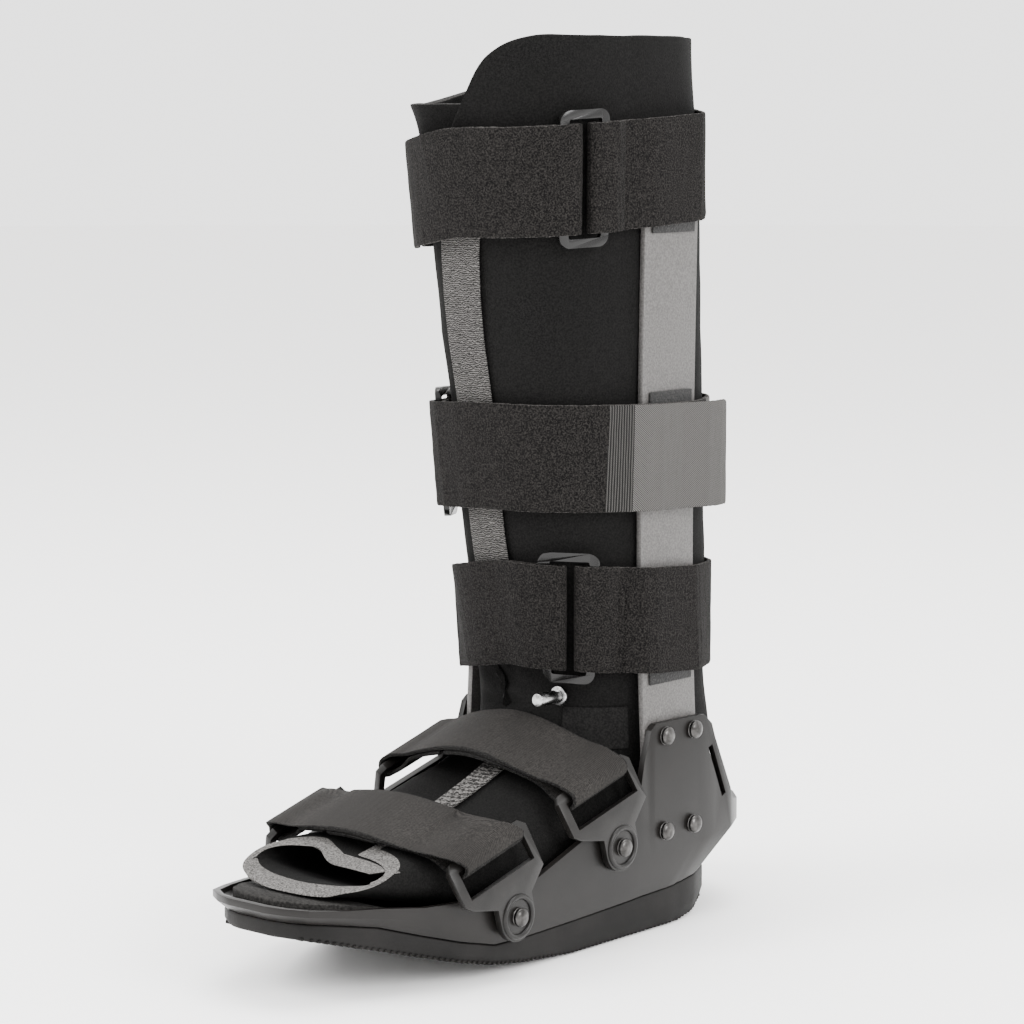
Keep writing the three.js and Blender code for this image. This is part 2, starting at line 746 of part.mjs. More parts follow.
const straps = [
  ['top', 0.808, 0.06, 9, 1, 0.138, 18, 0.270, 2, 26],
  ['middle', 0.391, -0.02, 3, -1, 0.40, 18, 0.463, 8, 30],
  ['lower', 0.148, -0.07, 8, 1, 0.15, 18, 0.215, 1, 20],
].map(([name, rise, tilt, sag, way, ringAt, tabLength, overShare, flare, flareLength]) => ({
  name, rise, tilt, sag, way, ringAt, tabLength, overShare, flare, flareLength,
}));
for (const strap of straps) {
  strap.z = legRootZ + strap.rise * legRise;
}

function ringFlat() {
  const outline = new THREE.Shape();
  const rail = (shape, fromX, toX, y) => {
    for (let i = 0; i <= 4; i += 1) {
      shape.lineTo(mix(fromX, toX, i / 4), y);
    }
  };
  const corner = (shape, halfX, halfY, radius) => {
    shape.moveTo(halfX, -halfY + radius);
    shape.lineTo(halfX, halfY - radius);
    shape.absarc(halfX - radius, halfY - radius, radius, 0, Math.PI / 2);
    rail(shape, halfX - radius, -halfX + radius, halfY);
    shape.absarc(-halfX + radius, halfY - radius, radius, Math.PI / 2, Math.PI);
    shape.lineTo(-halfX, -halfY + radius);
    shape.absarc(-halfX + radius, -halfY + radius, radius, Math.PI, 1.5 * Math.PI);
    rail(shape, -halfX + radius, halfX - radius, -halfY);
    shape.absarc(halfX - radius, -halfY + radius, radius, 1.5 * Math.PI, 2 * Math.PI);
  };
  corner(outline, ringWidth / 2, ringHeight / 2, ringCorner);
  const hole = new THREE.Path();
  corner(hole, ringWidth / 2 - ringBar, ringHeight / 2 - ringBar, 1);
  outline.holes.push(hole);
  const flat = new THREE.ExtrudeGeometry(outline, {
    depth: ringThickness,
    bevelEnabled: false,
    curveSegments: 4,
  });
  flat.rotateX(Math.PI / 2);
  flat.translate(0, ringMid + ringThickness / 2, 0);
  flat.deleteAttribute('normal');
  flat.deleteAttribute('uv');
  return BufferGeometryUtils.mergeVertices(flat, 1e-4);
}

for (const strap of straps) {
  const band = bandGeometry(strapPath(strap), strapThickness, strapWidth);
  addPiece(`strap_${strap.name}`, wrapOnLeg(band, strap), 'strapCloth');
  addPiece(`ring_${strap.name}`, wrapOnLeg(ringFlat(), strap), 'ringPlastic');
}

// Hook patches on the bars under each strap
function patchGeometry(strap) {
  const steps = 4;
  const sections = [];
  for (let i = 0; i <= steps; i += 1) {
    const z = strap.z + mix(-strapWidth / 2, strapWidth / 2, i / steps) + strap.patchShift;
    const inner = barOuterX(z) + gap;
    sections.push([
      new THREE.Vector3(inner, barY - patchWidth / 2, z),
      new THREE.Vector3(inner + patchThickness, barY - patchWidth / 2, z),
      new THREE.Vector3(inner + patchThickness, barY + patchWidth / 2, z),
      new THREE.Vector3(inner, barY + patchWidth / 2, z),
    ]);
  }
  return loft(sections, ladderCap(4));
}

straps.forEach((strap, index) => {
  const shift = [-4, 5, -5][index];
  const patch = patchGeometry({ ...strap, patchShift: shift });
  addPiece(`hook_patch_${strap.name}_left`, patch, 'strapCloth');
  addPiece(`hook_patch_${strap.name}_right`, mirrored(patch), 'strapCloth');
});

// Strap loops: a tab riveted to the shell wall, a neck and a rectangular eye that leans in over the foot
const eyeHalf = webWidth / 2 + 2;
const eyeLow = loopNeck + loopBar;
const eyeHigh = eyeLow + loopSlot;
const loopTop = eyeHigh + loopBar;

function loopOutline() {
  const outline = new THREE.Shape();
  const outerHalf = eyeHalf + loopBar;
  outline.absarc(loopShift, 0, loopTab, Math.PI, 2 * Math.PI);
  outline.lineTo(loopShift + loopTab, loopNeck * 0.45);
  outline.lineTo(outerHalf, loopNeck);
  outline.lineTo(outerHalf, loopTop - 3);
  outline.lineTo(outerHalf - 3, loopTop);
  outline.lineTo(-outerHalf + 3, loopTop);
  outline.lineTo(-outerHalf, loopTop - 3);
  outline.lineTo(-outerHalf, loopNeck + 3);
  outline.lineTo(-outerHalf + 4, loopNeck);
  outline.lineTo(loopShift - loopTab, loopNeck * 0.55);
  const eye = new THREE.Path();
  eye.moveTo(-eyeHalf, eyeLow);
  eye.lineTo(-eyeHalf, eyeHigh);
  eye.lineTo(eyeHalf, eyeHigh);
  eye.lineTo(eyeHalf, eyeLow);
  outline.holes.push(eye);
  return outline;
}

// Where a point of the flat loop comes to lie: along the bar, up the loop, and out from its inner face
function bendLoop(loop, across, up, out) {
  const bendFrom = loopNeck;
  const past = Math.max(0, up - bendFrom);
  const radius = (loopTop - bendFrom) / loopLean;
  const turn = past / radius;
  const rise = past > 0 ? bendFrom + (radius + out) * Math.sin(turn) : up;
  const side = past > 0 ? out * Math.cos(turn) - radius * (1 - Math.cos(turn)) : out;
  const y = loop.y + (across - loopShift) * Math.cos(loopTurn) - rise * Math.sin(loopTurn);
  const z = loop.z + (across - loopShift) * Math.sin(loopTurn) + rise * Math.cos(loopTurn);
  return new THREE.Vector3(loop.x + gap + side, y, z);
}

function loopGeometry(loop) {
  const flat = new THREE.ExtrudeGeometry(loopOutline(), {
    depth: loopThickness,
    bevelEnabled: false,
    curveSegments: 8,
  });
  flat.deleteAttribute('normal');
  flat.deleteAttribute('uv');
  const merged = BufferGeometryUtils.mergeVertices(flat, 1e-4);
  const place = merged.attributes.position;
  for (let i = 0; i < place.count; i += 1) {
    const spot = bendLoop(loop, place.getX(i), place.getY(i), place.getZ(i));
    place.setXYZ(i, spot.x, spot.y, spot.z);
  }
  merged.computeVertexNormals();
  return merged;
}

const footStraps = [
  { name: 'instep', along: 0.418, crownAlong: 0.487, rise: 27, crownRise: 0.987, slope: 0.33 },
  { name: 'forefoot', along: 0.661, crownAlong: 0.747, rise: 9, crownRise: 0.652, slope: 0.28 },
].map((row) => ({
  ...row,
  x: baseHalfWidth,
  y: heelY - row.along * baseLength,
  z: soleThickness + row.rise,
  crownY: heelY - row.crownAlong * baseLength,
  crownZ: soleThickness + row.crownRise * footHeight,
}));

for (const foot of footStraps) {
  const loop = loopGeometry(foot);
  addPiece(`loop_${foot.name}_left`, loop, 'ringPlastic');
  addPiece(`loop_${foot.name}_right`, mirrored(loop), 'ringPlastic');
  addRivet(`loop_rivet_${foot.name}`, foot.x + gap + loopThickness, foot.y, foot.z);
}

// Foot straps: one webbing band over the foot, round the top bar of each loop and back under itself
function webFrame(foot) {
  const bar = bendLoop(foot, 0, (eyeHigh + loopTop) / 2, loopThickness / 2);
  const samples = 60;
  const points = [];
  for (let i = 0; i <= samples; i += 1) {
    const x = bar.x * Math.cos((Math.PI * i) / samples);
    points.push(new THREE.Vector2(x, 1 - Math.abs(x / bar.x) ** webArch));
  }
  const rise = foot.crownZ - bar.z;
  const spots = points.map((p) => new THREE.Vector2(p.x, p.y * rise));
  const lengths = [0];
  for (let i = 1; i <= samples; i += 1) {
    lengths.push(lengths[i - 1] + spots[i].distanceTo(spots[i - 1]));
  }
  return { bar, spots, lengths, around: lengths[samples], rise };
}

function webPoint(foot, frame, along, out, across) {
  const clamped = Math.min(frame.around, Math.max(0, along));
  let index = 1;
  while (index < frame.lengths.length - 1 && frame.lengths[index] < clamped) {
    index += 1;
  }
  const span = frame.lengths[index] - frame.lengths[index - 1];
  const share = (clamped - frame.lengths[index - 1]) / span;
  const [from, to] = [frame.spots[index - 1], frame.spots[index]];
  const direction = to.clone().sub(from).normalize();
  const spot = from.clone().lerp(to, share).add(direction.clone().multiplyScalar(along - clamped));
  spot.add(new THREE.Vector2(direction.y, -direction.x).multiplyScalar(out));
  const part = smooth(spot.y / frame.rise);
  const lift = mix(loopTurn, foot.slope, part);
  const y = mix(frame.bar.y, foot.crownY, part) + across * Math.cos(lift);
  const z = frame.bar.z + spot.y + across * Math.sin(lift);
  return new THREE.Vector3(spot.x, y, z);
}

function webGeometry(foot) {
  const frame = webFrame(foot);
  const outside = Math.hypot(loopBar, loopThickness) / 2 + gap + webThickness / 2;
  const rest = webThickness / 2 + gap;
  const endPad = 14;
  const steps = 24;
  const under = 0.62;
  const layer = (from, to, side) => {
    const points = [];
    for (let i = 0; i <= steps; i += 1) {
      const s = mix(from, to, i / steps);
      const near = Math.min(s, frame.around - s);
      points.push(new THREE.Vector2(s, side * mix(outside, rest, smooth((near - loopBar) / endPad))));
    }
    return points;
  };
  const nearTurn = halfTurn(new THREE.Vector2(-1.7, 0), outside, 90, 270, 6);
  const farTurn = halfTurn(new THREE.Vector2(frame.around + 1.7, 0), outside, 90, -90, 6);
  const path = [
    ...layer(frame.around * under, 1, -1),
    ...nearTurn.reverse(),
    ...layer(1, frame.around - 1, 1),
    ...farTurn,
    ...layer(frame.around - 1, frame.around * (under + 0.02), -1),
  ];
  const flat = bandGeometry(path, webThickness, webWidth);
  const place = flat.attributes.position;
  const points = [];
  for (let i = 0; i < place.count; i += 1) {
    points.push(webPoint(foot, frame, place.getX(i), place.getY(i), place.getZ(i)));
  }
  return closedGeometry(points, indexTriangles(flat));
}

for (const foot of footStraps) {
  addPiece(`strap_${foot.name}`, webGeometry(foot), 'webbing');
}

// Inflation valve on the near side of the liner, above the instep
const valve = { x: 0.44 * legHalfWidth, z: legRootZ + 2.5 * flangeRadius };
valve.y = linerFrontY(valve.x - flangeRadius, valve.z - flangeRadius / 2) - gap;
const flange = new THREE.CylinderGeometry(flangeRadius, flangeRadius, flangeThickness, 16);
flange.translate(valve.x, valve.y - flangeThickness / 2, valve.z);
addPiece('valve_flange', flange, 'valveMetal');
const barrel = new THREE.CylinderGeometry(valveRadius, valveRadius, valveLength, 16);
barrel.translate(valve.x, valve.y - flangeThickness - gap - valveLength / 2, valve.z);
addPiece('valve_barrel', barrel, 'valveMetal');

// The origin is the middle of the bounding box's underside
const bounds = new THREE.Box3().setFromObject(boot);
const middle = bounds.getCenter(new THREE.Vector3());
for (const piece of boot.children) {
  piece.geometry.translate(-middle.x, -middle.y, -bounds.min.z);
}

export default boot;
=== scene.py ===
"""Looks of a tall medical walking boot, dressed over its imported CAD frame.

Metres, +Z up, toe towards -Y, the wearer's left side towards +X. One section for each piece or group of
like pieces, in the order in which the boot is put together.
"""

import math

import bpy
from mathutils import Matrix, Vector


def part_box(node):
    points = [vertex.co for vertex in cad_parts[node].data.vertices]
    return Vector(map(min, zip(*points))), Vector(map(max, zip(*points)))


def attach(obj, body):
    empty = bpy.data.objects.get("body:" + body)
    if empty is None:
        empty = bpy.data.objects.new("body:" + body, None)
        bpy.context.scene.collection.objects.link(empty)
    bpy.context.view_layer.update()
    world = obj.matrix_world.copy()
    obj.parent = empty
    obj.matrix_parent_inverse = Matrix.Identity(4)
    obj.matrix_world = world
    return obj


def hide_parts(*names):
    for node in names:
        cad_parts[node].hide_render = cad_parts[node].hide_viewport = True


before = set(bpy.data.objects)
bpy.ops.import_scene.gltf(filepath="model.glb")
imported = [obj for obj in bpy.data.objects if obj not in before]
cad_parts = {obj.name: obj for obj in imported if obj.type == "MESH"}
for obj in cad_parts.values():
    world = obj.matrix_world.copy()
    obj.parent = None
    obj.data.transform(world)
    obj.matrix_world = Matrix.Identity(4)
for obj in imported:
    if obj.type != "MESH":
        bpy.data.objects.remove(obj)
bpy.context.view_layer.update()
bpy.ops.object.select_all(action="DESELECT")

# Studio: a pale floor, an even pale room and soft light from the front left, the right and above, seen
# by a long lens at the height of the upper strap.
LENS_MM = 112.15
CAMERA_AT = Vector((0.9378, -1.0577, 0.3717))
LOOK_AT = Vector((-0.006, 0.028, 0.190))
bpy.ops.object.camera_add(location=CAMERA_AT)
camera = bpy.context.object
camera.rotation_mode = "QUATERNION"
camera.rotation_quaternion = (LOOK_AT - CAMERA_AT).to_track_quat("-Z", "Y")
camera.data.lens = LENS_MM
camera.data.clip_end = 20
bpy.context.scene.camera = camera

for name, place, size, watts in (
    ("key_light", (-0.9, -1.5, 1.5), 1.1, 60),
    ("side_light", (1.9, -0.2, 1.1), 1.0, 46),
    ("top_light", (0.1, 0.2, 2.2), 1.4, 56),
):
    bpy.ops.object.light_add(type="AREA", location=place)
    light = bpy.context.object
    light.name = name
    light.data.energy = watts
    light.data.size = size
    light.rotation_mode = "QUATERNION"
    light.rotation_quaternion = (LOOK_AT - Vector(place)).to_track_quat("-Z", "Y")

room = bpy.data.worlds.new("studio_room")
bpy.context.scene.world = room
room.use_nodes = True
room.node_tree.nodes["Background"].inputs["Color"].default_value = (1.0, 0.995, 0.99, 1)
room.node_tree.nodes["Background"].inputs["Strength"].default_value = 2.6

bpy.ops.mesh.primitive_circle_add(vertices=96, radius=9, fill_type="NGON", location=(0, 0, -0.0006))
studio_floor = bpy.context.object
studio_floor.name = "studio_floor"
floor_paint = bpy.data.materials.new("pale_floor")
floor_paint.use_nodes = True
floor_paint.node_tree.nodes["Principled BSDF"].inputs["Base Color"].default_value = (0.96, 0.955, 0.95, 1)
floor_paint.node_tree.nodes["Principled BSDF"].inputs["Roughness"].default_value = 0.8
studio_floor.data.materials.append(floor_paint)


# Outsole: black moulded rubber rocker, turned up at toe and heel, glued under the shell. Its underside is
# cut into fine cross ribs, which show as small teeth along the lower edge.
def finish_of(name, colour, roughness):
    """A new material with a plain colour and roughness, its node tree and its surface node."""
    finish = bpy.data.materials.new(name)
    finish.use_nodes = True
    skin = finish.node_tree.nodes["Principled BSDF"]
    skin.inputs["Base Color"].default_value = (*colour, 1)
    skin.inputs["Roughness"].default_value = roughness
    return finish, finish.node_tree, skin


def gloss(skin, level):
    """Strength of the surface's own mirror-like gloss: low on cloth and foam, higher on mouldings."""
    skin.inputs["Specular IOR Level"].default_value = level


def place_in(tree, stretch=(1, 1, 1)):
    """Object coordinates, scaled along each axis for a pattern."""
    where = tree.nodes.new("ShaderNodeTexCoord")
    turn = tree.nodes.new("ShaderNodeMapping")
    turn.inputs["Scale"].default_value = stretch
    tree.links.new(where.outputs["Object"], turn.inputs["Vector"])
    return turn.outputs["Vector"]


def mottle(tree, size, depth=3):
    """Irregular grain with grains of the given size in metres."""
    grain = tree.nodes.new("ShaderNodeTexNoise")
    grain.inputs["Scale"].default_value = 1 / size
    grain.inputs["Detail"].default_value = depth
    tree.links.new(place_in(tree), grain.inputs["Vector"])
    return grain.outputs["Fac"]


def shade_between(tree, pattern, dark, light, low=0.35, high=0.65):
    """Colours a pattern from a dark to a light tone."""
    ramp = tree.nodes.new("ShaderNodeValToRGB")
    ramp.color_ramp.elements[0].position = low
    ramp.color_ramp.elements[0].color = (*dark, 1)
    ramp.color_ramp.elements[1].position = high
    ramp.color_ramp.elements[1].color = (*light, 1)
    tree.links.new(pattern, ramp.inputs["Fac"])
    return ramp.outputs["Color"]


def paint(tree, skin, pattern, dark, light, low=0.35, high=0.65):
    """Colours the surface itself by a pattern, from a dark to a light tone."""
    tree.links.new(shade_between(tree, pattern, dark, light, low, high), skin.inputs["Base Color"])


def emboss(tree, skin, pattern, height, strength):
    """Raises the surface by a pattern, over whatever already raises it."""
    bump = tree.nodes.new("ShaderNodeBump")
    bump.inputs["Distance"].default_value = height
    bump.inputs["Strength"].default_value = strength
    tree.links.new(pattern, bump.inputs["Height"])
    if skin.inputs["Normal"].is_linked:
        tree.links.new(skin.inputs["Normal"].links[0].from_socket, bump.inputs["Normal"])
    tree.links.new(bump.outputs["Normal"], skin.inputs["Normal"])


def only(piece):
    """Makes a piece the one that operators act on."""
    bpy.ops.object.select_all(action="DESELECT")
    piece.select_set(True)
    bpy.context.view_layer.objects.active = piece


def cut_from(node, name):
    """A new piece on a merged copy of a CAD node's mesh, with its faces squared up."""
    piece = bpy.data.objects.new(name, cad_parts[node].data.copy())
    bpy.context.scene.collection.objects.link(piece)
    piece.data.materials.clear()
    only(piece)
    bpy.ops.object.mode_set(mode="EDIT")
    bpy.ops.mesh.select_all(action="SELECT")
    bpy.ops.mesh.remove_doubles(threshold=1e-5)
    bpy.ops.mesh.tris_convert_to_quads(face_threshold=0.9, shape_threshold=1.2)
    bpy.ops.object.mode_set(mode="OBJECT")
    if "custom_normal" in piece.data.attributes:
        piece.data.attributes.remove(piece.data.attributes["custom_normal"])
    return piece


def apply_all(piece):
    only(piece)
    for modifier in list(piece.modifiers):
        bpy.ops.object.modifier_apply(modifier=modifier.name)


def round_edges(piece, width, segments, angle):
    """Rounds the edges sharper than an angle."""
    bevel = piece.modifiers.new("round_edges", "BEVEL")
    bevel.width = width
    bevel.segments = segments
    bevel.limit_method = "ANGLE"
    bevel.angle_limit = math.radians(angle)
    apply_all(piece)


def smooth_out(piece, levels):
    smoother = piece.modifiers.new("smooth_out", "SUBSURF")
    smoother.levels = levels
    smoother.render_levels = levels
    apply_all(piece)


def soft_shading(piece, angle):
    only(piece)
    bpy.ops.object.shade_smooth_by_angle(angle=math.radians(angle))


def fit(piece, finish, slot, *nodes):
    """Gives a piece its finish, lets it ride and lets it stand for its CAD nodes."""
    piece.data.materials.append(finish)
    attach(piece, "root")
    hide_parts(*nodes)


def join_all(parts, name):
    only(parts[0])
    for part in parts:
        part.select_set(True)
    bpy.ops.object.join()
    parts[0].name = name
    return parts[0]


RIB_PITCH = 0.0028
RIB_DEPTH = 0.0007
RIB_SHARE = 0.55
RIBS_FROM_ENDS = 0.006
RIBS_FROM_SIDES = 0.001
rubber, tree, skin = finish_of("outsole_rubber", (0.014, 0.0135, 0.013), 0.6)
paint(tree, skin, mottle(tree, 0.02), (0.003, 0.0027, 0.0025), (0.0062, 0.0056, 0.0053))
gloss(skin, 0.14)
emboss(tree, skin, mottle(tree, 0.0006), 0.0002, 0.5)

outsole = cut_from("outsole", "rocker_outsole")
round_edges(outsole, 0.0018, 3, 30)
soft_shading(outsole, 30)

cad_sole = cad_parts["outsole"]
ribs = []
low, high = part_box("outsole")
y = low[1] + RIBS_FROM_ENDS
while y < high[1] - RIBS_FROM_ENDS:
    hit, spot, normal, _ = cad_sole.ray_cast(Vector((0, y, -0.05)), Vector((0, 0, 1)))
    if hit:
        inside = Vector((0, y, spot.z + 0.003))
        wall, side, _, _ = cad_sole.ray_cast(inside, Vector((1, 0, 0)))
        if wall:
            bpy.ops.mesh.primitive_cube_add(size=1)
            rib = bpy.context.object
            rib.scale = (2 * side.x - RIBS_FROM_SIDES, RIB_PITCH * RIB_SHARE, RIB_DEPTH * 2)
            lean = math.atan2(normal.y, -normal.z)
            rib.rotation_euler = (lean, 0, 0)
            rib.location = spot + Vector((0, 0, RIB_DEPTH))
            ribs.append(rib)
    y += RIB_PITCH
for rib in ribs:
    only(rib)
    bpy.ops.object.transform_apply(location=True, rotation=True, scale=True)
tread = join_all(ribs, "tread_ribs")
round_edges(tread, 0.0003, 1, 40)
fit(outsole, rubber, "rubber", "outsole")
tread.data.materials.append(rubber)
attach(tread, "root")


# Foot shell: one dark satin moulding of tough plastic. A sloping band runs round it above the outsole,
# and its walls rise into the two ankle plates that the side bars are riveted to.
shell_plastic, tree, skin = finish_of("shell_plastic", (0.01, 0.0094, 0.0089), 0.36)
paint(tree, skin, mottle(tree, 0.05), (0.0034, 0.003, 0.0027), (0.0068, 0.006, 0.0055))
gloss(skin, 0.19)
emboss(tree, skin, mottle(tree, 0.0005, 2), 0.00012, 0.35)
emboss(tree, skin, mottle(tree, 0.004, 2), 0.0001, 0.25)
shell = cut_from("shell", "foot_shell")
round_edges(shell, 0.0011, 3, 28)
soft_shading(shell, 32)
fit(shell, shell_plastic, "shell_plastic", "shell")


# Insole: a dark slab of closed-cell foam cut to the shell's floor and laid in loose.
CLOTH_GLOSS = 0.1
insole_foam, tree, skin = finish_of("insole_foam", (0.03, 0.029, 0.028), 0.9)
paint(tree, skin, mottle(tree, 0.0012, 4), (0.006, 0.0057, 0.0054), (0.022, 0.021, 0.02))
gloss(skin, CLOTH_GLOSS)
emboss(tree, skin, mottle(tree, 0.001), 0.0003, 0.8)
insole = cut_from("insole_pad", "insole_slab")
round_edges(insole, 0.001, 2, 40)
soft_shading(insole, 40)
fit(insole, insole_foam, "insole_foam", "insole_pad")


# Liner: one thick sheet of grey foam faced on both sides with black brushed cloth, wrapped round the leg
# and foot so that its near flap closes over the far one. Its cut foam shows only at the open toe, and the
# up-facing faces of its fuzzy top rim are painted lighter: a painted sheen on the rim's fuzz.
cloth, tree, skin = finish_of("brushed_liner_cloth", (0.004, 0.0038, 0.0038), 0.95)
paint(tree, skin, mottle(tree, 0.0008, 3), (0.0015, 0.00145, 0.0014), (0.0055, 0.0053, 0.0051))
gloss(skin, CLOTH_GLOSS)
emboss(tree, skin, mottle(tree, 0.0007), 0.0004, 0.7)
emboss(tree, skin, mottle(tree, 0.012, 2), 0.0012, 0.35)

# Rim cloth: a fuzzy bump of its own, with a lighter tone that is painted sheen.
rim_fuzz, tree, skin = finish_of("rim_fuzz_sheen", (0.015, 0.0145, 0.014), 0.95)
paint(tree, skin, mottle(tree, 0.0008, 4), (0.004, 0.0038, 0.0037), (0.03, 0.029, 0.028))
gloss(skin, CLOTH_GLOSS)
emboss(tree, skin, mottle(tree, 0.0007), 0.0005, 0.9)

cut_foam, tree, skin = finish_of("cut_liner_foam", (0.13, 0.125, 0.12), 0.9)
paint(tree, skin, mottle(tree, 0.0008, 5), (0.03, 0.0288, 0.0276), (0.13, 0.125, 0.12))
gloss(skin, CLOTH_GLOSS)
emboss(tree, skin, mottle(tree, 0.0009), 0.0006, 0.9)

# The plane of the straight cut across the toe, and the creases pressed in above the instep strap, each
# with its two ends and its height
CUT_FRONT = Vector((0, -0.0830, 0.0575))
CUT_SOLE = Vector((0, -0.1271, 0.0444))
CUT_REACH = 0.0012
SOLE_SWELL = 0.0013
RIM_Z = 0.36
CREASE_REACH = 0.008
CREASE_FADE = 0.004
CREASES = (
    (Vector((-0.030, 0.040, 0.106)), Vector((0.002, 0.030, 0.1085)), 0.0022),
    (Vector((-0.026, 0.038, 0.1135)), Vector((0.006, 0.028, 0.1165)), 0.0016),
)
liner = cut_from("liner", "wrap_liner")
cut_normal = (CUT_FRONT - CUT_SOLE).cross(Vector((-1, 0, 0))).normalized()
for finish in (cloth, cut_foam, rim_fuzz):
    liner.data.materials.append(finish)
for face in liner.data.polygons:
    off_cut = max(abs((liner.data.vertices[index].co - CUT_SOLE).dot(cut_normal)) for index in face.vertices)
    if off_cut < CUT_REACH:
        face.material_index = 1
    # Up-facing top rim faces take the lighter cloth, a painted sheen on the fuzz.
    elif face.normal.z > 0.8 and face.center.z > RIM_Z:
        face.material_index = 2
for vertex in liner.data.vertices:
    on_cut = abs((vertex.co - CUT_SOLE).dot(cut_normal)) < CUT_REACH
    if on_cut and vertex.co.z < CUT_SOLE.z + SOLE_SWELL:
        vertex.co.z -= SOLE_SWELL
round_edges(liner, 0.0011, 2, 45)
smooth_out(liner, 2)
crumple = bpy.data.textures.new("slow_unevenness", "CLOUDS")
crumple.noise_scale = 0.035
sag = liner.modifiers.new("slow_unevenness", "DISPLACE")
sag.texture = crumple
sag.texture_coords = "LOCAL"
sag.strength = 0.0022
sag.mid_level = 0.5
apply_all(liner)
for vertex in liner.data.vertices:
    for start, end, height in CREASES:
        along = (end - start).normalized()
        share = (vertex.co - start).dot(along)
        reach = (vertex.co - start - along * share).length
        ends = min(share, (end - start).length - share)
        if reach < CREASE_REACH and ends > -CREASE_FADE:
            fade = min(1, (ends + CREASE_FADE) / (2 * CREASE_FADE))
            vertex.co += vertex.normal * height * fade * math.cos(reach / CREASE_REACH * math.pi)
soft_shading(liner, 50)
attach(liner, "root")
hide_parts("liner")


# Closure strips: grey pile tape sewn along the near flap's free edge on the shin and the instep, with an
# overlocked edge on the calf side.
def bands(tree, direction, scale, place):
    """Even rows across one direction: knitted rows, cords or columns of stitches."""
    wave = tree.nodes.new("ShaderNodeTexWave")
    wave.bands_direction = direction
    wave.inputs["Scale"].default_value = scale
    tree.links.new(place, wave.inputs["Vector"])
    return wave


tape, tree, skin = finish_of("grey_pile_tape", (0.06, 0.058, 0.055), 0.95)
rows = bands(tree, "Z", 330, place_in(tree))
rows.inputs["Distortion"].default_value = 7
rows.inputs["Detail"].default_value = 2
rows.inputs["Detail Scale"].default_value = 2
paint(tree, skin, rows.outputs["Fac"], (0.012, 0.0116, 0.0112), (0.10, 0.096, 0.092), 0.15, 0.9)
gloss(skin, CLOTH_GLOSS)
emboss(tree, skin, rows.outputs["Fac"], 0.0006, 0.8)
emboss(tree, skin, mottle(tree, 0.0008), 0.0004, 0.7)
for node, name, flat_size in (
    ("closure_tape_leg", "shin_closure_strip", (0.0228, 0.244)),
    ("closure_tape_foot", "instep_closure_strip", (0.0126, 0.072)),
):
    strip = cut_from(node, name)
    round_edges(strip, 0.0003, 1, 45)
    smooth_out(strip, 1)
    soft_shading(strip, 50)
    fit(strip, tape, "pile_tape", node)


# Side bars: flat strips of metal with a grey, gritty powder coat, one on each side of the leg, riveted
# at their foot to the ankle plates.
bar_coat, tree, skin = finish_of("grey_powder_coat", (0.09, 0.086, 0.083), 0.5)
paint(tree, skin, mottle(tree, 0.0009, 4), (0.046, 0.0438, 0.0422), (0.09, 0.0857, 0.0825))
skin.inputs["Metallic"].default_value = 0.25
emboss(tree, skin, mottle(tree, 0.0007), 0.00025, 0.7)
for side in ("left", "right"):
    bar = cut_from(f"bar_{side}", f"side_bar_{side}")
    round_edges(bar, 0.0006, 2, 40)
    soft_shading(bar, 30)
    fit(bar, bar_coat, "bar_paint", f"bar_{side}")


# Rivets: domed dark metal heads, four through each ankle plate and bar, and one through each strap loop.
rivet_metal, tree, skin = finish_of("dark_rivet_metal", (0.05, 0.048, 0.046), 0.3)
skin.inputs["Metallic"].default_value = 0.85
paint(tree, skin, mottle(tree, 0.003, 3), (0.025, 0.024, 0.023), (0.075, 0.072, 0.07))
emboss(tree, skin, mottle(tree, 0.0008), 0.0001, 0.4)
DOME_SHARE = 0.86
BASE_SHARE = 0.16
for node in [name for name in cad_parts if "_rivet_" in name]:
    low, high = (Vector(corner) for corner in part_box(node))
    centre = (low + high) / 2
    radius = (high.z - low.z) / 2
    height = high.x - low.x
    outward = 1 if centre.x > 0 else -1
    bpy.ops.mesh.primitive_uv_sphere_add(segments=28, ring_count=16, radius=radius)
    head = bpy.context.object
    head.name = node.replace("rivet", "rivet_head")
    bpy.ops.object.mode_set(mode="EDIT")
    bpy.ops.mesh.select_all(action="SELECT")
    bpy.ops.mesh.bisect(plane_co=(0, 0, 0), plane_no=(0, 0, 1), clear_inner=True, use_fill=True)
    bpy.ops.mesh.select_all(action="SELECT")
    bpy.ops.transform.resize(value=(1, 1, height * DOME_SHARE / radius))
    bpy.ops.object.mode_set(mode="OBJECT")
    base = height * BASE_SHARE
    bpy.ops.mesh.primitive_cylinder_add(vertices=28, radius=radius, depth=base, location=(0, 0, -base / 2))
    head = join_all([head, bpy.context.object], head.name)
    round_edges(head, 0.0002, 1, 50)
    head.rotation_euler = (0, outward * math.pi / 2, 0)
    head.location = (low.x + base if outward > 0 else high.x - base, centre.y, centre.z)
    only(head)
    bpy.ops.object.transform_apply(location=True, rotation=True, scale=True)
    soft_shading(head, 40)
    fit(head, rivet_metal, "rivet_metal", node)


# Hook patches: short pads of black hook tape stuck to the bars under each leg strap, with a sewn border.
hook_tape, tree, skin = finish_of("black_hook_tape", (0.01, 0.0096, 0.0093), 0.85)
hooks = tree.nodes.new("ShaderNodeTexVoronoi")
hooks.inputs["Scale"].default_value = 900
tree.links.new(place_in(tree), hooks.inputs["Vector"])
paint(tree, skin, hooks.outputs["Distance"], (0.018, 0.0173, 0.0167),
      (0.003, 0.0029, 0.0028), 0.1, 0.5)
emboss(tree, skin, hooks.outputs["Distance"], 0.0006, 0.8)
for level in ("top", "middle", "lower"):
    for side in ("left", "right"):
        node = f"hook_patch_{level}_{side}"
        patch = cut_from(node, f"hook_pad_{level}_{side}")
        round_edges(patch, 0.0003, 1, 45)
        soft_shading(patch, 45)
        fit(patch, hook_tape, "hook_tape", node)


